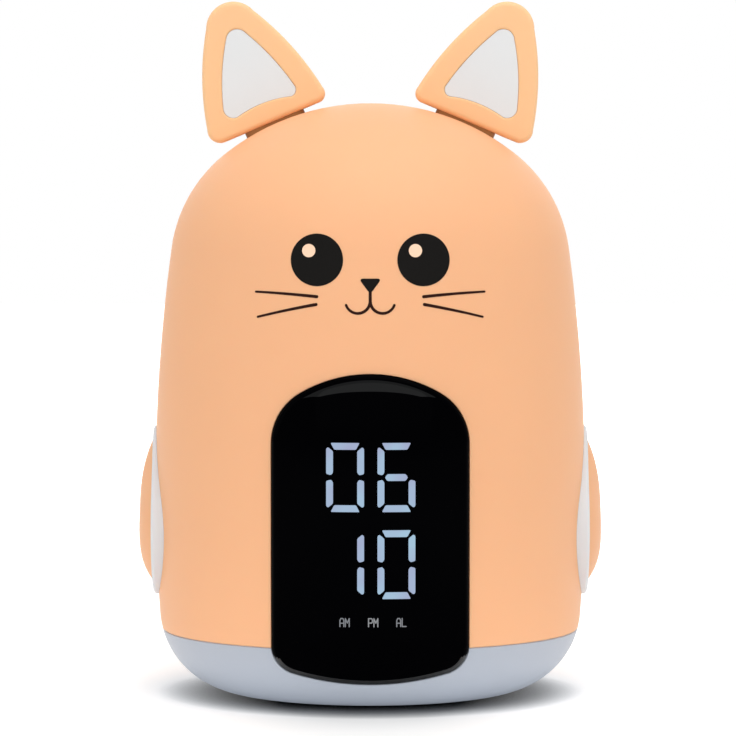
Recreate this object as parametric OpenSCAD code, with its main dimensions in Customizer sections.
// Kids alarm clock with night light: a round domed body on a tinted base, two plug-in ears,
// a tall display window in front, side pads, and a control recess with speaker at the back.
// Millimetres, +Z up. The display faces -Y. The origin is on the table, under the body's axis.

/* [Body] */
// Largest radius of the round body
body_r = 61; // [56:0.5:68]
// Height of the dome above the table, without the ears
body_h = 167.1; // [160:0.1:190]
// Height at which the body is widest
widest_z = 58; // [52:1:64]
// Radius of the gentle barrel curve of the sides
side_r = 500; // [400:10:700]
// Radius of the shoulder between the side and the crown
shoulder_r = 41; // [34:1:44]
// How much larger the crown's radius is than the body's
crown_over = 5.2; // [4:0.1:7]
// Radius of the curve at the bottom edge
edge_r = 23.8; // [21:0.1:27]
// Height of the seam between the shell and the base
seam_z = 18.2; // [16.6:0.2:19.4]
// Wall of the shell and the base
wall = 2.4; // [2:0.1:3]
// Height of the joining lip above the seam
lip_h = 3; // [2:0.1:3.2]
// Thickness of the joining lip
lip_t = 1.6; // [1.2:0.1:2]
// Size of the chamfer on each side of the seam
seam_v = 0.35; // [0.2:0.05:0.5]
// How far the feet lift the base off the table
foot_h = 0.5; // [0.4:0.1:1.4]

/* [Display] */
// Width of the display lens
lens_w = 53.6; // [48:0.2:58]
// Height of the lens's lower end
lens_bottom = 8.3; // [7:0.1:13]
// Height of the lens's upper end
lens_top = 92.9; // [86:0.1:100]
// Crown radius of the lens's upper arch
arch_r = 37; // [34:0.5:44]
// Corner radius of the lens's upper arch
arch_corner_r = 16; // [12:0.5:19]
// Crown radius of the lens's lower end
sill_r = 78; // [60:1:100]
// Corner radius of the lens's lower end
sill_corner_r = 8; // [6:0.5:10]
// How far the lens stands out of the body
lens_proud = 1.7; // [1:0.1:2.5]
// Rounding of the lens's front edge
lens_edge_r = 1.5; // [0.8:0.1:1.8]
// Width of the softer roll along the lens's upper edge
lens_roll = 4.5; // [1.5:0.1:6]
// How quickly that roll narrows from the top towards the sides
lens_taper = 7; // [1:0.5:9]
// Depth of the pocket that the lens and the side pads sit in
pocket = 1.2; // [1:0.1:1.4]
// Thickness of the tape behind the lens
tape_t = 0.3; // [0.2:0.05:0.5]
// Rim of the pocket left around the window
window_rim = 4; // [3:0.5:6]
// Width of a digit
digit_w = 10.2; // [8:0.2:11]
// Height of a digit
digit_h = 18.6; // [16:0.2:20]
// Width of a digit's segment
segment_w = 2.1; // [1.6:0.1:2.6]
// Distance between the digits of a row
digit_pitch = 13.8; // [12.5:0.1:16]
// Distance between the rows of digits
row_pitch = 23.5; // [22:0.5:25]
// Height of the middle of the upper row
row_z = 65.3; // [62:0.1:67]
// Height of the three indicator lights
indicator_z = 26.1; // [25.6:0.1:27]
// Distance between the indicator lights
indicator_pitch = 7.7; // [6:0.1:9]

/* [Ears] */
// Lean of each ear away from the body's axis, in degrees
ear_tilt = 24; // [20:0.5:28]
// Thickness of the ear
ear_t = 8; // [6:0.2:10]
// Rounding of the ear's edges
ear_round = 1.5; // [1.2:0.1:2.4]
// Ear's inner lower corner: centre across and above the dome, and radius
ear_inner = [-13.9, 3.1, 2.7]; // [-16:0.1:10]
// Ear's outer lower corner: centre across and above the dome, and radius
ear_outer = [15.1, 4.5, 3.5]; // [2:0.1:20]
// Ear's tip: centre across and above the dome, and radius
ear_tip = [-0.1, 29.1, 7.7]; // [-4:0.1:36]
// Outward bulge of the ear's long sides
ear_bulge = 1.3; // [0.4:0.1:2]
// Inlay's inner lower corner: centre across and above the dome, and radius
inlay_inner = [-7.4, 7.1, 2]; // [-10:0.1:10]
// Inlay's outer lower corner: centre across and above the dome, and radius
inlay_outer = [9, 8.7, 2.8]; // [2:0.1:12]
// Inlay's tip: centre across and above the dome, and radius
inlay_tip = [0.2, 25.7, 3.1]; // [-2:0.1:30]
// Outward bulge of the inlay's long sides
inlay_bulge = 0.7; // [0:0.1:1.2]
// How far the inlay's lower edge curves inwards
inlay_scoop = 1.1; // [0.5:0.1:2]
// Thickness of the inlay plate
inlay_t = 1.5; // [1:0.1:2]
// Width of the neck that stands on the dome
neck_w = 18; // [14:0.5:19]
// Thickness of the neck
neck_t = 5; // [4.4:0.2:6]
// Width of the tenon through the dome
tenon_w = 13; // [10:0.5:13]
// Thickness of the tenon
tenon_t = 3.8; // [3.6:0.1:4.2]
// Length of the tenon below the dome's surface
tenon_l = 8.8; // [8:0.1:12]

/* [Side pads] */
// Radius of the pad's lower lobe
lobe_r = 19; // [16:0.5:20]
// Height of the lower lobe's centre
lobe_z = 46.8; // [45:0.2:50]
// Radius of the pad's upper lobe
tip_r = 9; // [7:0.5:12]
// Height of the upper lobe's centre
tip_z = 66.8; // [62:0.2:72]
// How far the pad's flat face stands out from the widest part of the body
pad_out = 0.5; // [0.3:0.1:1.5]
// Rim of the pad left around the cap
pad_rim = 3.5; // [2.5:0.1:5]
// Height of the domed cap
cap_h = 4.1; // [3:0.1:6]
// Diameter of the pegs that hold the pad
peg_d = 5; // [4:0.2:6]

/* [Back] */
// Width of the control recess
panel_w = 46; // [42:0.5:50]
// Height of the recess's lower edge
panel_bottom = 24.5; // [24:0.1:25]
// Height of the recess's upper edge
panel_top = 92; // [91:0.5:98]
// Corner radius of the recess
panel_r = 6; // [4:0.5:8]
// Depth of the panel's face below the widest part of the body
panel_depth = 7.5; // [7:0.1:9]
// How far the rim of the recess stands out of the body
rim_out = 0.5; // [0.2:0.1:1]
// Thickness of the panel
panel_t = 2; // [1.6:0.1:2.4]
// Diameter of a key
key_d = 8; // [7:0.1:8.6]
// Distance between the two columns of keys
key_pitch_x = 22; // [20:0.2:24]
// Distance between the rows of keys
key_pitch_z = 11.2; // [11:0.1:11.6]
// Height of the lowest row of keys
key_z = 62.6; // [62.4:0.1:63]
// How far a key stands out of the panel
key_out = 1.5; // [1:0.1:2]
// Diameter of the loudspeaker
speaker_d = 28; // [24:1:28]
// Height of the loudspeaker's centre
speaker_z = 44; // [43.4:0.1:44.4]
// Diameter of a grille hole
grille_d = 2; // [1.6:0.1:2.4]
// Distance between the rings of grille holes
grille_pitch = 3.3; // [3.1:0.1:3.6]
// Sideways place of the power inlet
inlet_x = 13; // [12.6:0.1:14]
// Sideways place of the power switch
switch_x = 14.5; // [14.4:0.1:15]
// Travel of the power switch
switch_travel = 4; // [3:0.5:4]

/* [Battery bay] */
// Diameter of a cell
cell_d = 10.5; // [10.2:0.1:10.5]
// Length of a cell
cell_l = 44.5; // [42:0.1:45]
// Number of cells
cells = 3; // [2:1:3]
// Room for the contacts at each end of the cells
contact_room = 3.2; // [2.8:0.1:3.6]
// Thickness of the battery door
door_t = 1.3; // [1.2:0.1:1.6]

/* [Fits] */
// Clearance between pieces that are fixed together
fit = 0.15; // [0.1:0.01:0.2]
// Clearance between pieces that move
gap = 0.3; // [0.25:0.05:0.35]

/* [Hidden] */
$fn = 64;

peach = "#f6b98a";
lavender = "#b6bcc8";
white = "#e6e1de";
black = "#08090b";
steel = "#b9bcc0";
board_green = "#1f6b45";

cross = 0.004; // lets tangent arcs cross cleanly instead of merely touching
step_gap = 0.01; // keeps a stepped back clear of the true curve behind it

// Body profile: base arc, barrel side, shoulder and crown, each tangent to the next.
base_z = foot_h;
crown_r = body_r + crown_over;
crown_z = body_h - crown_r;
side_c = [body_r - side_r, widest_z];
low_angle = asin((widest_z - base_z - edge_r) / (side_r - edge_r));
edge_c = [side_c.x + (side_r - edge_r) * cos(low_angle), base_z + edge_r];
reach = [-side_c.x, crown_z - widest_z]; // from the side's centre to the crown's
reach_l = norm(reach);
along = ((side_r - shoulder_r)^2 - (crown_r - shoulder_r)^2 + reach_l^2) / (2 * reach_l);
across = sqrt((side_r - shoulder_r)^2 - along^2);
shoulder_c = side_c + along * reach / reach_l + across * [-reach.y, reach.x] / reach_l;
top_angle = atan2(shoulder_c.y - widest_z, shoulder_c.x - side_c.x);
crown_angle = atan2(shoulder_c.y - crown_z, shoulder_c.x);

function low_z(g) = widest_z - (side_r - g) * sin(low_angle);
function top_z(g) = widest_z + (side_r - g) * sin(top_angle);
function crown_cut(g) = crown_z + (crown_r - g) * sin(crown_angle);
// Radius of the body at height z, g below its surface
function body_radius(z, g = 0) =
    z < low_z(g) ? edge_c.x + sqrt(max(0, (edge_r - g)^2 - (z - edge_c.y)^2)) :
    z < top_z(g) ? side_c.x + sqrt((side_r - g)^2 - (z - widest_z)^2) :
    z < crown_cut(g) ? shoulder_c.x + sqrt((shoulder_r - g)^2 - (z - shoulder_c.y)^2) :
    sqrt(max(0, (crown_r - g)^2 - (z - crown_z)^2));
// Depth of the body's surface, g below it, at width x and height z
function body_y(x, z, g = 0) = sqrt(body_radius(z, g)^2 - x^2);

function arc(c, r, a0, a1, n) = [for (i = [0:n]) let (a = a0 + (a1 - a0) * i / n) c + r * [cos(a), sin(a)]];
function line(a, b, n) = [for (i = [1:n - 1]) a + (b - a) * i / n];

far = 2.5 * body_h; // longer than the whole clock, for cutting
module slab(z0, z1) translate([-far / 2, -far / 2, z0]) cube([far, far, z1 - z0]);
module along_x(x0, x1) translate([x0, 0, 0]) rotate([90, 0, 90]) linear_extrude(x1 - x0) children();
module along_y(y0, y1) translate([0, y1, 0]) rotate([90, 0, 0]) linear_extrude(y1 - y0) children();
module rod_x(x0, x1, d) translate([x0, 0, 0]) rotate([0, 90, 0]) cylinder(d = d, h = x1 - x0);
module rod_y(y0, y1, d) translate([0, y1, 0]) rotate([90, 0, 0]) cylinder(d = d, h = y1 - y0);
module stadium(w, h) {
    square([w - h, h], center = true);
    for (s = [-1, 1]) translate([s * (w - h) / 2, 0]) circle(d = h);
}
module rounded_2d(w, h, r) {
    square([w - 2 * r, h], center = true);
    square([w, h - 2 * r], center = true);
    for (x = [-1, 1], y = [-1, 1]) translate([x * (w / 2 - r), y * (h / 2 - r)]) circle(r = r);
}
module mirrored(side) {
    if (side > 0) children();
    else mirror([1, 0, 0]) children();
}
module hull_of(points) hull() polyhedron(points, [for (i = [0:len(points) - 3]) [i, i + 1, i + 2]]);
// A screw with its head's underside at z = 0 and its shank going up
module screw(head_d, head_h, shank_d, shank_l) {
    difference() {
        translate([0, 0, -head_h]) cylinder(d = head_d, h = head_h);
        translate([0, 0, -head_h - 1]) cylinder(d = head_d / 2, h = 1 + head_h / 2, $fn = 6);
    }
    cylinder(d = shank_d, h = shank_l);
}

// ---- Body ----

module body_2d(g) {
    intersection() {
        square([body_r + 50, body_h + 50]);
        union() {
            intersection() {
                translate(side_c) circle(r = side_r - g, $fn = 1440);
                translate([0, low_z(g)]) square([body_r + 50, top_z(g) - low_z(g)]);
            }
            translate(shoulder_c) circle(r = shoulder_r - g + cross, $fn = 180);
            intersection() {
                translate([0, crown_z]) circle(r = crown_r - g, $fn = 180);
                translate([0, crown_cut(g)]) square([body_r, body_r]);
            }
            translate(edge_c) circle(r = edge_r - g + cross, $fn = 180);
            translate([0, base_z + g]) square([edge_c.x, low_z(g) - base_z]);
            translate([0, low_z(g)]) square([shoulder_c.x, crown_cut(g) - low_z(g)]);
        }
    }
}
// The solid body, shrunk by g all over
module body_solid(g = 0) rotate_extrude($fn = 180) body_2d(g);
// Its lower part with the curve of its side in short steps, for cutting the backs of thin pieces
module body_stepped(g) rotate_extrude($fn = 180) polygon(concat(
    [[0, base_z + g]],
    arc(edge_c, edge_r - g, -90, -low_angle, 28),
    [for (i = [1:52]) let (a = -low_angle + (top_angle + low_angle) * i / 52)
        side_c + (side_r - g) * [cos(a), sin(a)]],
    [[0, top_z(g)]]));

// The V-shaped groove around the seam
module seam_groove() rotate_extrude($fn = 180) translate([body_radius(seam_z), seam_z])
    polygon([[-seam_v, 0], [0, -seam_v], [seam_v, -seam_v], [seam_v, seam_v], [0, seam_v]]);

// The shell stands on the base with two screws at the back and two snap hooks at the front
base_screw_r = body_r - 12;
module at_base_screws() for (a = [45, 135]) rotate([0, 0, a]) translate([base_screw_r, 0, 0]) children();
hook_out = 0.5; // how far a hook reaches into the shell's wall
hook_w = 9;
hook_h = 1.4;
module hooks(g) for (a = [-45, -135]) rotate([0, 0, a]) intersection() {
    difference() {
        body_solid(wall - hook_out - g);
        body_solid(wall + fit + lip_t / 2);
    }
    translate([body_r / 2, -hook_w / 2 - g, seam_z + lip_h - 0.4 - hook_h - g])
        cube([body_r, hook_w + 2 * g, hook_h + 2 * g]);
}
boss_d = 8;
boss_foot = seam_z + 1.8; // where the shell's bosses stand on the base's tubes
module shell_boss() {
    translate([0, 0, boss_foot]) cylinder(d = boss_d, h = 16);
    translate([0, -1, seam_z + lip_h + 0.8]) cube([body_r - base_screw_r - wall / 2, 2, 18]);
}

// Places children on each side pad's peg axes
pad_face = body_r + pad_out;
peg_seat = body_r - wall - 3.6; // inner end of the peg bosses
peg_z = [lobe_z - 6, lobe_z + 14];
module at_pegs() for (z = peg_z) translate([0, 0, z]) children();

panel_y = body_r - panel_depth; // outer face of the rear panel
panel_in = panel_y - panel_t;
panel_mid = (panel_bottom + panel_top) / 2;
module panel_2d(g) translate([0, panel_mid])
    rounded_2d(panel_w + 2 * g, panel_top - panel_bottom + 2 * g, panel_r + g);
tab_t = 1.6;
tab_y = panel_in - 3.6; // outer face of the panel's screw tabs
tab_x = panel_w / 2 + 5.8;
tab_z = [panel_bottom + 9.5, panel_top - 8];
module at_tabs() for (s = [-1, 1], z = tab_z) translate([s * tab_x, 0, z]) children();

module body_shell() color(peach) difference() {
    union() {
        difference() {
            body_solid();
            body_solid(wall);
            slab(-far / 2, seam_z);
        }
        intersection() {
            union() {
                at_base_screws() shell_boss();
                for (s = [-1, 1]) mirrored(s) at_pegs() rod_x(peg_seat, body_r, peg_d + 5);
                at_tabs() rod_y(tab_y, body_r, 6);
            }
            body_solid(wall / 2);
        }
    }
    at_base_screws() translate([0, 0, boss_foot - 1]) cylinder(d = 2.6, h = 14);
    for (s = [-1, 1]) mirrored(s) {
        pad_pocket();
        at_pegs() rod_x(peg_seat - 1, body_r + 5, peg_d + 2 * fit);
        ear_place() translate([0, 0, crown_r - 14]) linear_extrude(28) tenon_2d(fit);
    }
    at_tabs() rod_y(tab_y - 1, tab_y + 4, 2.2);
    lens_pocket();
    seam_groove();
    hooks(fit);
    along_y(-body_r - 5, -body_r / 2) intersection() {
        lens_2d(window_rim);
        translate([-lens_w / 2, seam_z + lip_h + 2.8]) square([lens_w, lens_top]);
    }
    along_y(body_r / 2, body_r + 5) panel_2d(gap);
}

// ---- Base ----

tray_x = cell_l / 2 + contact_room; // half length of the battery bay
tray_y = cells * (cell_d + 0.4) / 2 + 0.3; // half width of the battery bay
box_t = 1.6;
door_top = base_z + door_t;
ledge_z = door_top + gap; // underside of the ledge that the door closes against
cell_z = ledge_z + 0.3 + cell_d / 2;
box_top = cell_z + cell_d / 2 + 0.5;
door_x = tray_x + 1.2; // half length of the door
door_y = tray_y + 2; // half width of the door
hinge_r = 1.1; // radius of the barrel along the door's edge
hinge_x = -tray_x - box_t - gap - hinge_r;
hinge_z = base_z + hinge_r;
pin_d = 1.4; // the barrel's end pins
pin_l = 2.4;
pin_gap = 0.05;
hinge_wall = 1.3; // material over the barrel's channel
deck_z = boss_foot; // underside of the chassis deck
pillar_x = tray_x + 1.2;
pillar_y = 27;
module at_pillars() for (x = [-1, 1], y = [-1, 1]) translate([x * pillar_x, y * pillar_y, 0]) children();
foot_x = 16;
foot_y = 26;
foot_d = 8;
foot_sunk = 0.6;
module at_feet() for (x = [-1, 1], y = [-1, 1]) translate([x * foot_x, y * foot_y, 0]) children();
screw_seat = 14; // height of the base screws' heads' seats

module base_tub() color(lavender) difference() {
    union() {
        difference() {
            body_solid();
            body_solid(wall);
            slab(seam_z, far);
        }
        intersection() {
            difference() {
                body_solid(wall - 0.4);
                body_solid(wall + fit + lip_t);
            }
            slab(seam_z - 4, seam_z);
        }
        intersection() {
            difference() {
                body_solid(wall + fit);
                body_solid(wall + fit + lip_t);
            }
            slab(seam_z - 1, seam_z + lip_h);
        }
        hooks(0);
        intersection() {
            union() {
                at_base_screws() cylinder(d = boss_d + 1, h = boss_foot);
                at_pillars() cylinder(d = 7, h = deck_z);
                translate([-tray_x - box_t, -tray_y - box_t, base_z])
                    cube([2 * (tray_x + box_t), 2 * (tray_y + box_t), box_top + box_t - base_z]);
                translate([hinge_x - hinge_r - hinge_wall, -door_y - pin_l - hinge_wall, base_z])
                    cube([2 * (hinge_r + hinge_wall), 2 * (door_y + pin_l + hinge_wall),
                        2 * hinge_r + gap + hinge_wall]);
            }
            body_solid(wall / 2);
        }
    }
    translate([-tray_x, -tray_y, 0]) cube([2 * tray_x, 2 * tray_y, box_top]);
    translate([-door_x - gap, -door_y - gap, 0]) cube([2 * (door_x + gap), 2 * (door_y + gap), ledge_z]);
    translate([hinge_x, 0, hinge_z]) {
        rod_y(-door_y - gap, door_y + gap, 2 * (hinge_r + gap));
        rod_y(-door_y - pin_l - gap, door_y + pin_l + gap, pin_d + 2 * pin_gap);
        translate([-hinge_r - gap, -door_y - gap, -hinge_z])
            cube([hinge_r + gap, 2 * (door_y + gap), hinge_z]);
        translate([0, -door_y - gap, -hinge_z])
            cube([-hinge_x - tray_x, 2 * (door_y + gap), ledge_z]);
    }
    translate([door_x + 3, 0, base_z - 5]) cylinder(r = 8, h = 6.2);
    at_base_screws() {
        translate([0, 0, -1]) cylinder(d = 6.6, h = screw_seat + 1);
        translate([0, 0, screw_seat - 1]) cylinder(d = 3.4, h = far);
    }
    at_pillars() translate([0, 0, deck_z - 10]) cylinder(d = 2.4, h = 11);
    at_feet() translate([0, 0, base_z - 1]) cylinder(d = foot_d + 2 * fit, h = 1 + foot_sunk);
    lens_pocket();
    seam_groove();
}

module feet() color("#3c3d42") at_feet()
    rotate_extrude() polygon([[0, 0], [foot_d / 2 - 0.5, 0], [foot_d / 2, 0.5],
        [foot_d / 2, base_z + foot_sunk], [0, base_z + foot_sunk]]);

module base_screws() color(steel) at_base_screws() translate([0, 0, screw_seat]) screw(6, 2, 2.5, 16);

// ---- Battery ----

module at_cells() for (i = [0:cells - 1])
    translate([0, (i - (cells - 1) / 2) * (cell_d + 0.4), cell_z]) mirrored(i % 2 == 0 ? 1 : -1) children();
module battery_cells() at_cells() {
    color("#2c8c4a") rod_x(-cell_l / 2, cell_l / 2 - 1, cell_d);
    color(steel) rod_x(cell_l / 2 - 1, cell_l / 2, 3.8);
}
module battery_contacts() color(steel) at_cells() {
    translate([tray_x - 0.4, -4, -4]) cube([0.4, 8, 8]);
    rod_x(cell_l / 2, tray_x - 0.4, 2.4);
    translate([-tray_x, -4, -4]) cube([0.4, 8, 8]);
    translate([-tray_x + 0.4, 0, 0]) rotate([0, 90, 0])
        rotate_extrude() polygon([[2.6, 0], [4, 0], [2.4, contact_room - 0.4], [1.4, contact_room - 0.4]]);
}
module battery_door() color(lavender) {
    difference() {
        translate([hinge_x, -door_y, base_z]) cube([door_x - hinge_x, 2 * door_y, door_t]);
        for (i = [0:3]) translate([door_x - 12 + 2.4 * i, -7, base_z - 1]) cube([1.2, 14, 1.5]);
    }
    translate([hinge_x, 0, hinge_z]) {
        rod_y(-door_y, door_y, 2 * hinge_r);
        rod_y(-door_y - pin_l, door_y + pin_l, pin_d);
    }
}

// ---- Display ----

// One end of the lens outline: a flat crown arc between two corner arcs, g inside the edge
module arch_2d(crown, corner, g) {
    x = lens_w / 2 - corner;
    drop = sqrt((crown - corner)^2 - x^2);
    side = (crown - g) * x / (crown - corner);
    for (s = [-1, 1]) translate([s * x, -crown + drop]) circle(r = corner - g + cross);
    intersection() {
        translate([0, -crown]) circle(r = crown - g, $fn = 360);
        translate([-side, -crown + drop]) square([2 * side, crown]);
    }
}
arch_drop = arch_r - sqrt((arch_r - arch_corner_r)^2 - (lens_w / 2 - arch_corner_r)^2);
sill_drop = sill_r - sqrt((sill_r - sill_corner_r)^2 - (lens_w / 2 - sill_corner_r)^2);
module lens_2d(g) {
    translate([0, lens_top]) arch_2d(arch_r, arch_corner_r, g);
    translate([0, lens_bottom]) mirror([0, 1]) arch_2d(sill_r, sill_corner_r, g);
    translate([-lens_w / 2 + g, lens_bottom + sill_drop])
        square([lens_w - 2 * g, lens_top - arch_drop - lens_bottom - sill_drop]);
}
// The same outline as points, for the rounded lens
arch_a = acos((lens_w / 2 - arch_corner_r) / (arch_r - arch_corner_r));
sill_a = acos((lens_w / 2 - sill_corner_r) / (sill_r - sill_corner_r));
// Width of the edge's roll where the outline faces direction a
function lens_edge(a) = lens_edge_r + (lens_roll - lens_edge_r) * max(0, sin(a))^lens_taper;
function rolled_arc(c, r, a0, a1, n, k) =
    [for (i = [0:n]) let (a = a0 + (a1 - a0) * i / n) c + (r - k * lens_edge(a)) * [cos(a), sin(a)]];
// Right half of the outline, inset by the share k of the edge's roll
function lens_half(k) = let (
    top_c = [lens_w / 2 - arch_corner_r, lens_top - arch_drop],
    low_c = [lens_w / 2 - sill_corner_r, lens_bottom + sill_drop],
    low = rolled_arc([0, lens_bottom + sill_r], sill_r, -90, -sill_a, 4, k),
    corner = rolled_arc(low_c, sill_corner_r, -sill_a, 0, 5, k),
    top = rolled_arc(top_c, arch_corner_r, 0, arch_a, 6, k),
    crown = rolled_arc([0, lens_top - arch_r], arch_r, arch_a, 90, 6, k)
) concat(low, corner, line(corner[5], top[0], 5), top, crown);
function lens_ring(k, out, share = 1) = let (mid = [0, (lens_top + lens_bottom) / 2])
    [for (p = lens_half(k), s = [-1, 1]) let (q = mid + share * (p - mid))
        [s * q.x, -body_y(q.x, q.y, -out), q.y]];

module lens_pocket() difference() {
    along_y(-body_r - 5, -body_r / 2) lens_2d(-fit);
    body_solid(pocket);
}
module display_lens() color(black) difference() {
    hull_of(concat(
        [for (p = lens_half(0), s = [-1, 1]) [s * p.x, -body_r / 2, p.y]],
        [for (a = [0:15:90]) each lens_ring(1 - cos(a), lens_proud - lens_edge_r * (1 - sin(a)))],
        [for (share = [0.02:0.2:0.82]) each lens_ring(1, lens_proud, share)]));
    body_stepped(pocket - tape_t - 2 * step_gap);
}
module lens_tape() color("#3a3a3c") intersection() {
    difference() {
        body_solid(pocket - tape_t);
        body_solid(pocket - step_gap);
    }
    along_y(-body_r - 5, -body_r / 2) difference() {
        lens_2d(0.6);
        lens_2d(window_rim - 0.6);
    }
}

digit_x = [-digit_pitch / 2, digit_pitch / 2];
digit_rows = [row_z, row_z - row_pitch];
function segment(l) = let (h = segment_w / 2) [[-l / 2, 0], [-l / 2 + h, h], [l / 2 - h, h],
    [l / 2, 0], [l / 2 - h, -h], [-l / 2 + h, -h]];
bar = digit_w - segment_w; // between the middles of a digit's upright segments
rise = (digit_h - segment_w) / 2; // between the middles of its level segments
// Places children on each segment's middle, along X; each is given its length
module at_segments() for (x = digit_x, z = digit_rows) translate([x, z]) {
    for (k = [-1:1]) translate([0, k * rise]) {
        $length = bar;
        children();
    }
    for (s = [-1, 1], k = [-1, 1]) translate([s * bar / 2, k * rise / 2]) rotate(90) {
        $length = rise;
        children();
    }
}
module at_indicators() for (k = [-1:1]) translate([k * indicator_pitch, indicator_z]) children();

reflector_y = -(body_r - 7); // front of the digit reflector
reflector_t = 8;
board_t = 1.6;
board_y = reflector_y + reflector_t; // front of the display board
board_w = 54;
board_foot = seam_z + lip_h + 1.4;
board_top = row_z + digit_h / 2 + 7.6;
reflector_w = digit_pitch + digit_w + 11;
well_floor = board_y - 2.2; // the wells' white floor stands this high over the board
module digit_reflector() color(white) difference() {
    translate([-reflector_w / 2, reflector_y, board_foot])
        cube([reflector_w, reflector_t, row_z + digit_h / 2 + 3 - board_foot]);
    along_y(reflector_y - 1, well_floor) {
        at_segments() polygon(segment($length - 0.4));
        at_indicators() circle(d = 2.8);
    }
    along_y(well_floor - 1, board_y + 1) {
        at_segments() circle(d = 2.4, $fn = 24);
        at_indicators() circle(d = 2.4, $fn = 24);
    }
}
module display_leds() color("#f2f6ff") along_y(board_y - 0.8, board_y) {
    at_segments() square([1.6, 0.9], center = true);
    at_indicators() square([1.6, 0.9], center = true);
}
post_w = 5;
post_x = board_w / 2 - post_w; // inner side of the front posts
module at_board_screws() for (s = [-1, 1], z = [board_foot + 5, board_top - 5])
    translate([s * (board_w / 2 - post_w / 2), 0, z]) children();
module display_board() color(board_green) difference() {
    translate([-board_w / 2, board_y, board_foot]) cube([board_w, board_t, board_top - board_foot]);
    at_board_screws() rod_y(board_y - 1, board_y + board_t + 1, 2.6);
}

// ---- Ears ----

module ear_place() translate([0, 0, crown_z]) rotate([0, ear_tilt, 0]) children();
module tenon_2d(g) stadium(tenon_w + 2 * g, tenon_t + 2 * g);
// Direction that the line round corners a and b faces, each corner given as [x, z, radius]
function facing(a, b) = let (d = [b.x - a.x, b.y - a.y])
    atan2(d.y, d.x) - 90 + asin((a.z - b.z) / norm(d));
function bulged(a, b, h, n) = let (d = (b - a) / norm(b - a))
    [for (i = [1:n - 1]) let (t = i / n) a + (b - a) * t + h * 4 * t * (1 - t) * [d.y, -d.x]];
// Rounded triangle through an inner, an outer and a tip corner, its long sides bulged by h, g inside its edge
function ear_outline(inner, outer, tip, h, g) = let (
    below = facing(inner, outer),
    outside = facing(outer, tip),
    inside = facing(tip, inner) + 360,
    p = arc([outer.x, outer.y], outer.z - g, below, outside, 7),
    q = arc([tip.x, tip.y], tip.z - g, outside, inside, 9),
    r = arc([inner.x, inner.y], inner.z - g, inside, below + 360, 7)
) concat(p, bulged(p[7], q[0], h, 8), q, bulged(q[9], r[0], h, 8), r);
function ear_ring(g, y) = [for (p = ear_outline(ear_inner, ear_outer, ear_tip, ear_bulge, g))
    [p.x, y, crown_r + p.y]];
inlay_deep = inlay_t + 0.3;
// Circle that cuts the inlay's lower edge inwards
scoop_a = [inlay_inner.x, inlay_inner.y - inlay_inner.z];
scoop_b = [inlay_outer.x, inlay_outer.y - inlay_outer.z];
scoop_half = norm(scoop_b - scoop_a) / 2;
scoop_r = (scoop_half^2 + inlay_scoop^2) / (2 * inlay_scoop);
scoop_v = (scoop_b - scoop_a) / (2 * scoop_half);
scoop_c = (scoop_a + scoop_b) / 2 + (inlay_scoop - scoop_r) * [-scoop_v.y, scoop_v.x];
module inlay_2d(g) translate([0, crown_r]) difference() {
    polygon(ear_outline(inlay_inner, inlay_outer, inlay_tip, inlay_bulge, -g));
    translate(scoop_c) circle(r = scoop_r - g, $fn = 180);
}
module ear() color(peach) ear_place() {
    difference() {
        hull_of([for (s = [-1, 1], a = [0:22.5:90]) each
            ear_ring(ear_round * (1 - cos(a)), s * (ear_t / 2 - ear_round * (1 - sin(a))))]);
        along_y(-ear_t, -ear_t / 2 + inlay_deep) inlay_2d(fit);
    }
    difference() {
        translate([0, 0, crown_r - 3]) linear_extrude(6) stadium(neck_w, neck_t);
        rotate([0, -ear_tilt, 0]) translate([0, 0, -crown_z]) body_solid();
    }
    difference() {
        translate([0, 0, crown_r - tenon_l]) linear_extrude(tenon_l + 2) tenon_2d(0);
        translate([0, 0, crown_r - tenon_l - 1]) cylinder(d = 2.1, h = 7);
    }
}
module ear_inlay() color(white) ear_place()
    along_y(-ear_t / 2 + inlay_deep - inlay_t, -ear_t / 2 + inlay_deep) inlay_2d(0);
clip_floor = tenon_l + 0.2;
clip_t = 1.6;
module ear_clips() color(white) for (s = [-1, 1]) mirrored(s) intersection() {
    ear_place() difference() {
        translate([-11, -5, crown_r - clip_floor - clip_t]) cube([22, 10, clip_floor + clip_t]);
        translate([0, 0, crown_r - clip_floor]) linear_extrude(far) tenon_2d(fit);
        translate([0, 0, crown_r - clip_floor - clip_t - 1]) cylinder(d = 2.6, h = clip_t + 2);
    }
    body_solid(wall);
}
module ear_screws() color(steel) for (s = [-1, 1]) mirrored(s) ear_place()
    translate([0, 0, crown_r - clip_floor - clip_t]) screw(4.6, 1.6, 2, 7);

// ---- Side pads ----

// Teardrop outline, g inside its edge: two lobes and the straight sides that touch both
lobe_a = acos((lobe_r - tip_r) / (tip_z - lobe_z));
module drop_2d(g) {
    touch = [sin(lobe_a), cos(lobe_a)];
    low = [0, lobe_z] + (lobe_r - g) * touch;
    high = [0, tip_z] + (tip_r - g) * touch;
    translate([0, lobe_z]) circle(r = lobe_r - g + cross);
    translate([0, tip_z]) circle(r = tip_r - g + cross);
    polygon([[-low.x, low.y], [-high.x, high.y], high, low]);
}
function drop_half(g) = concat(
    arc([0, lobe_z], lobe_r - g, -90, 90 - lobe_a, 12),
    arc([0, tip_z], tip_r - g, 90 - lobe_a, 90, 6));
drop_mid = [0, lobe_z];
function drop_ring(x, g, share = 1) =
    [for (p = drop_half(g), s = [-1, 1]) let (q = drop_mid + share * (p - drop_mid)) [x, s * q.x, q.y]];
module pad_pocket() difference() {
    along_x(body_r / 2, body_r + 5) drop_2d(-fit);
    body_solid(pocket);
}
pad_round = 1;
cap_sunk = 0.6; // depth of the cap's seat in the pad
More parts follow.
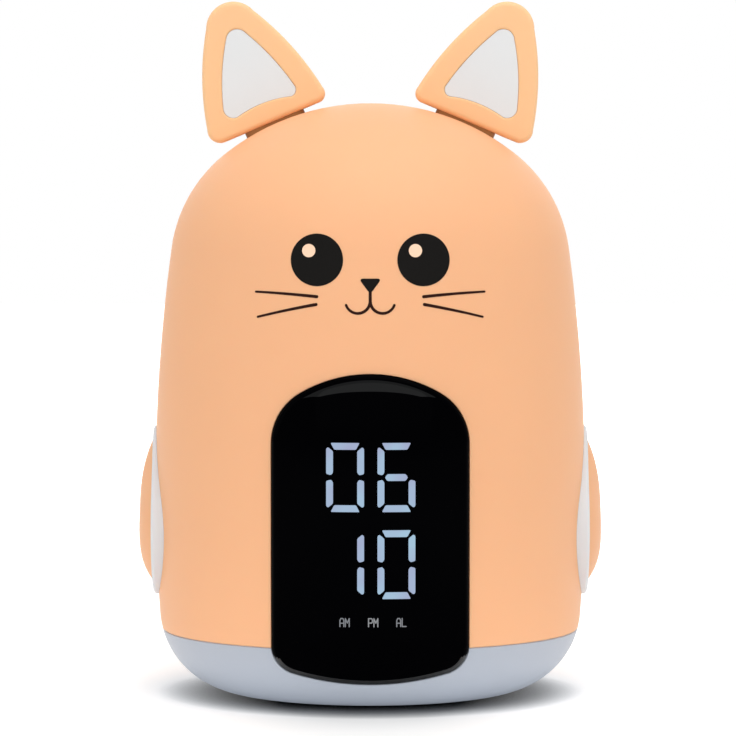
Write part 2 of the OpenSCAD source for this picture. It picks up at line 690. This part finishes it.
module arm_pad() color(white) {
    difference() {
        hull_of(concat(drop_ring(body_r / 2, 0),
            [for (a = [0:30:90]) each
                drop_ring(pad_face - pad_round * (1 - sin(a)), pad_round * (1 - cos(a)))]));
        body_stepped(pocket - step_gap);
        along_x(pad_face - cap_sunk, pad_face + 5) drop_2d(pad_rim - fit);
    }
    difference() {
        at_pegs() rod_x(peg_seat + 0.2, pad_face - cap_sunk, peg_d);
        at_pegs() rod_x(peg_seat - 1, peg_seat + 5, 2.1);
    }
}
module arm_cap() color(peach) hull_of(concat(
    drop_ring(pad_face - cap_sunk, pad_rim),
    [for (share = [0.05, 0.25, 0.45, 0.6, 0.72, 0.82, 0.9, 0.96, 1]) each
        drop_ring(pad_face + cap_h * (1 - share^3), pad_rim, share)]));
module arm_screws() color(steel) for (s = [-1, 1]) mirrored(s) at_pegs()
    translate([peg_seat, 0, 0]) rotate([0, 90, 0]) screw(7, 1.6, 2, 4.2);

// ---- Back ----

key_x = key_pitch_x / 2;
keys = [for (row = [2, 1, 0], s = [-1, 1]) [s * key_x, key_z + row * key_pitch_z]];
key_flange_d = key_d + 2.4;
key_flange_t = 1.1;
key_foot = panel_in - gap - key_flange_t; // where the key's flange rests on its plunger
module at_key(i) translate([keys[i].x, 0, keys[i].y]) children();
post_z = [key_z + key_pitch_z / 2, key_z + 2.26 * key_pitch_z]; // the key board's two posts
switch_h = 3.1;
key_board_y = key_foot - 0.8 - switch_h; // rear face of the key board
module at_key_posts() for (z = post_z) translate([0, 0, z]) children();

inlet_w = 8.94;
inlet_h = 3.26;
main_z = panel_bottom + 2.5; // top of the main board
inlet_z = main_z + inlet_h / 2;
slider_w = 3.6;
slider_h = 2.4;
slider_z = main_z + 2;

module grille() for (ring = [0:3], k = [0:max(0, 6 * ring - 1)])
    rotate(ring == 0 ? 0 : 60 * k / ring) translate([ring * grille_pitch, 0]) circle(d = grille_d, $fn = 24);

module rear_panel() color(peach) difference() {
    union() {
        along_y(panel_in, panel_y) panel_2d(0);
        intersection() {
            along_y(panel_in, body_r + 5) difference() {
                panel_2d(0);
                panel_2d(-box_t);
            }
            body_solid(-rim_out);
        }
        intersection() {
            difference() {
                body_solid(wall + gap);
                body_solid(wall + gap + 1.6);
            }
            along_y(body_r / 2, body_r + 5) difference() {
                panel_2d(2.5);
                panel_2d(-box_t);
            }
        }
        for (s = [-1, 1]) mirrored(s) for (z = tab_z) translate([0, 0, z]) {
            translate([panel_w / 2 - 2.8, tab_y - tab_t, -4])
                cube([tab_x + 3.4 - panel_w / 2 + 2.8, tab_t, 8]);
            translate([panel_w / 2 - 2.8, tab_y - tab_t, -4]) cube([2.8, panel_in + 1 - tab_y + tab_t, 8]);
        }
        at_key_posts() rod_y(key_board_y, panel_in + 0.5, 5);
        translate([0, 0, speaker_z]) difference() {
            rod_y(panel_in - 1.4, panel_in + 0.5, speaker_d + 3.6 + 2 * fit);
            rod_y(panel_in - 2, panel_in + 1, speaker_d + 2 + 2 * fit);
        }
    }
    for (i = [0:5]) at_key(i) rod_y(panel_in - 1, panel_y + 1, key_d + 2 * gap);
    at_tabs() rod_y(tab_y - tab_t - 1, tab_y + 1, 2.6);
    at_key_posts() rod_y(key_board_y - 1, key_board_y + 4, 1.9);
    along_y(panel_in - 1, panel_y + 1) {
        translate([0, speaker_z]) grille();
        translate([-inlet_x, inlet_z]) stadium(inlet_w + 0.8, inlet_h + 0.8);
        translate([switch_x, slider_z])
            square([slider_w + switch_travel + 2 * gap, slider_h + 2 * gap], center = true);
    }
}
module panel_screws() color(steel) at_tabs()
    translate([0, tab_y - tab_t, 0]) rotate([-90, 0, 0]) screw(4.6, 1.6, 2, 5);

module key(i) color(white) at_key(i) {
    rod_y(key_foot, key_foot + key_flange_t, key_flange_d);
    translate([0, key_foot + key_flange_t / 2, 0]) rotate([-90, 0, 0]) rotate_extrude()
        polygon([[0, 0], [key_d / 2, 0], [key_d / 2, panel_y + key_out - key_foot - key_flange_t / 2 - 0.5],
            [key_d / 2 - 0.5, panel_y + key_out - key_foot - key_flange_t / 2],
            [0, panel_y + key_out - key_foot - key_flange_t / 2]]);
}
plunger_d = 3.4;
module plunger(i) color("#202124") at_key(i) rod_y(key_board_y + 1.2, key_foot, plunger_d);
module tact_switches() color("#45474b") for (i = [0:5]) at_key(i) difference() {
    translate([-3, key_board_y, -3]) cube([6, switch_h, 6]);
    rod_y(key_board_y + 0.4, key_board_y + switch_h + 1, plunger_d + 0.2);
}
module key_board() color(board_green) difference() {
    translate([-key_x - 7, key_board_y - board_t, key_z - 4.5])
        cube([2 * key_x + 14, board_t, 2 * key_pitch_z + 10.5]);
    at_key_posts() rod_y(key_board_y - board_t - 1, key_board_y + 1, 2.4);
}

// The loudspeaker sits face to the grille, on a thin ring
ring_t = 0.5;
speaker_y = panel_in - ring_t;
module at_speaker() translate([0, speaker_y, speaker_z]) rotate([90, 0, 0]) children();
module speaker_ring() color("#2b2b2e") at_speaker() translate([0, 0, -ring_t]) difference() {
    cylinder(d = speaker_d + 2, h = ring_t);
    translate([0, 0, -1]) cylinder(d = speaker_d - 2.2, h = ring_t + 2);
}
basket_h = 5.4;
module speaker_basket() color(steel) at_speaker() difference() {
    rotate_extrude() polygon([[0, basket_h], [0, basket_h - 0.8], [8.6, basket_h - 0.8],
        [speaker_d / 2 - 2.2, 0.8], [speaker_d / 2 - 1.2, 0], [speaker_d / 2 + 1, 0],
        [speaker_d / 2 + 1, 0.8], [speaker_d / 2 - 0.6, 0.8], [9.4, basket_h]]);
    translate([0, 0, basket_h - 2]) cylinder(d = 7, h = 3);
    for (a = [0:60:300]) rotate([0, 0, a + 30]) translate([speaker_d / 2 - 2.8, 0, 2.9])
        rotate([0, 90, 0]) cylinder(d = 2.6, h = 6, center = true);
}
module speaker_cone() color("#1d1d20") at_speaker() rotate_extrude() polygon([
    [0, 2.6], [3.6, 2.2], [4, 3.2], [speaker_d / 2 - 3.2, 0.6], [speaker_d / 2 - 2, 0.1],
    [speaker_d / 2 - 1.2, 0], [speaker_d / 2 - 1.2, -0.3], [speaker_d / 2 - 2.6, -0.35],
    [4, 1.9], [3.4, 1.4], [0, 2]]);
module speaker_magnet() color("#5d6066") at_speaker() translate([0, 0, basket_h]) {
    cylinder(d = 15, h = 3.6);
    translate([0, 0, -2]) cylinder(d = 6.4, h = 2.5);
}

// ---- Main board ----

main_front = 10;
module at_main_posts() for (x = [-1, 1], y = [main_front + 5, 35]) translate([x * 19, y, 0]) children();
module main_board() color(board_green) difference() {
    union() {
        translate([-23, main_front, main_z - board_t]) cube([46, 32, board_t]);
        translate([-20, main_front, main_z - board_t]) cube([40, panel_in - gap - main_front, board_t]);
    }
    at_main_posts() translate([0, 0, main_z - board_t - 1]) cylinder(d = 2.6, h = board_t + 2);
}
module usb_socket() color(steel) translate([-inlet_x, 0, inlet_z]) {
    difference() {
        along_y(panel_in - gap - 7.4, panel_in - gap) stadium(inlet_w, inlet_h);
        along_y(panel_in - gap - 6.4, panel_in) stadium(inlet_w - 0.6, inlet_h - 0.6);
    }
    translate([-3.3, panel_in - gap - 6.8, -0.35]) cube([6.6, 5.4, 0.7]);
}
slider_x = switch_x - (slider_w + switch_travel) / 2; // left side of the slider at rest
module switch_housing() color("#3a3b3f") difference() {
    translate([slider_x - 1, panel_in - gap - 5, main_z])
        cube([slider_w + switch_travel + 2, 5, 3.6]);
    translate([slider_x - gap, panel_in - gap - 4, slider_z - slider_h / 2 - gap / 2])
        cube([slider_w + switch_travel + 2 * gap, 6, slider_h + gap]);
}
module power_slider() color(white) difference() {
    translate([slider_x, panel_in - gap - 3.8, slider_z - slider_h / 2])
        cube([slider_w, panel_y + 1.2 - panel_in + gap + 3.8, slider_h]);
    for (k = [0:1]) translate([slider_x + 0.8 + 1.4 * k, panel_y + 0.8, slider_z - 2])
        cube([0.6, 1, 4]);
}
module board_screws() color(steel) {
    at_key_posts() translate([0, key_board_y - board_t, 0]) rotate([-90, 0, 0]) screw(4, 1.4, 1.8, 5);
    at_main_posts() translate([0, 0, main_z]) mirror([0, 0, 1]) screw(4.6, 1.6, 2, 5);
    at_board_screws() translate([0, board_y, 0]) rotate([-90, 0, 0]) screw(4, 1.4, 2, 6);
}

// ---- Chassis and night light ----

deck_t = 2;
deck_r = body_r - 18;
upper_z = 104;
upper_r = body_r - 13;
rear_post = [32, 8];
module chassis() color("#dfe2e6") difference() {
    union() {
        translate([0, 0, deck_z]) cylinder(r = deck_r, h = deck_t);
        translate([-board_w / 2, board_y + board_t, deck_z]) cube([board_w, 14, deck_t]);
        translate([0, 0, upper_z]) cylinder(r = upper_r, h = deck_t);
        for (s = [-1, 1]) mirrored(s) {
            translate([post_x, board_y + board_t, deck_z]) cube([post_w, post_w, upper_z - deck_z + deck_t]);
            translate([rear_post.x, rear_post.y, deck_z]) cube([5, 5, upper_z - deck_z + deck_t]);
        }
        at_main_posts() translate([0, 0, deck_z]) cylinder(d = 6, h = main_z - board_t - deck_z);
        translate([0, 0, upper_z + deck_t]) difference() {
            cylinder(r = light_r + 2, h = 2.4);
            translate([0, 0, -1]) cylinder(r = light_r + fit, h = 4);
        }
    }
    at_pillars() translate([0, 0, deck_z - 1]) cylinder(d = 3, h = deck_t + 2);
    at_main_posts() translate([0, 0, main_z - board_t - 5]) cylinder(d = 2.1, h = 6);
    at_board_screws() rod_y(board_y + board_t - 1, board_y + board_t + 4.4, 2.1);
    translate([0, -6, upper_z - 1]) cylinder(r = 20, h = deck_t + 2);
    translate([0, -14, deck_z - 1]) cylinder(r = 12, h = deck_t + 2);
}
module chassis_screws() color(steel) at_pillars() translate([0, 0, deck_z + deck_t])
    mirror([0, 0, 1]) screw(5, 1.6, 2.2, 10);
light_r = 34;
light_z = upper_z + deck_t;
module light_board() color("#f0f0ea") translate([0, 0, light_z]) difference() {
    cylinder(r = light_r, h = board_t);
    translate([0, 0, -1]) cylinder(d = 10, h = board_t + 2);
}
module light_leds() color("#ffe9b0") translate([0, 0, light_z + board_t]) {
    for (a = [0:30:330]) rotate([0, 0, a]) translate([26, 0, 0.4]) cube([3, 3, 0.8], center = true);
    for (a = [0:60:300]) rotate([0, 0, a + 15]) translate([13, 0, 0.4]) cube([3, 3, 0.8], center = true);
}
diffuser_h = 20;
diffuser_foot = light_r + 6;
diffuser_t = 1.2;
diffuser_r = (diffuser_foot^2 + diffuser_h^2) / (2 * diffuser_h);
diffuser_c = light_z + diffuser_h - diffuser_r; // centre of the diffuser's dome
module light_diffuser() color("#f4f1ea") rotate_extrude() difference() {
    intersection() {
        translate([0, diffuser_c]) circle(r = diffuser_r);
        translate([0, light_z]) square([diffuser_foot, far]);
    }
    intersection() {
        translate([0, diffuser_c]) circle(r = diffuser_r - diffuser_t);
        translate([0, light_z - 1]) square([diffuser_foot, far]);
    }
}

body_shell();
base_tub();
display_lens();
lens_tape();
mirrored(-1) ear();  // ear_left
ear();  // ear_right
mirrored(-1) ear_inlay();  // ear_inlay_left
ear_inlay();  // ear_inlay_right
ear_clips();
ear_screws();
mirrored(-1) arm_pad();  // arm_pad_left
arm_pad();  // arm_pad_right
mirrored(-1) arm_cap();  // arm_cap_left
arm_cap();  // arm_cap_right
arm_screws();
rear_panel();
panel_screws();
key_board();
tact_switches();
key(0);  // key_1
key(1);  // key_2
key(2);  // key_3
key(3);  // key_4
key(4);  // key_5
key(5);  // key_6
plunger(0);  // plunger_1
plunger(1);  // plunger_2
plunger(2);  // plunger_3
plunger(3);  // plunger_4
plunger(4);  // plunger_5
plunger(5);  // plunger_6
speaker_basket();
speaker_cone();
speaker_magnet();
speaker_ring();
main_board();
usb_socket();
switch_housing();
power_slider();
display_board();
digit_reflector();
display_leds();
chassis();
chassis_screws();
light_board();
light_leds();
light_diffuser();
battery_cells();
battery_contacts();
battery_door();
base_screws();
board_screws();
feet();
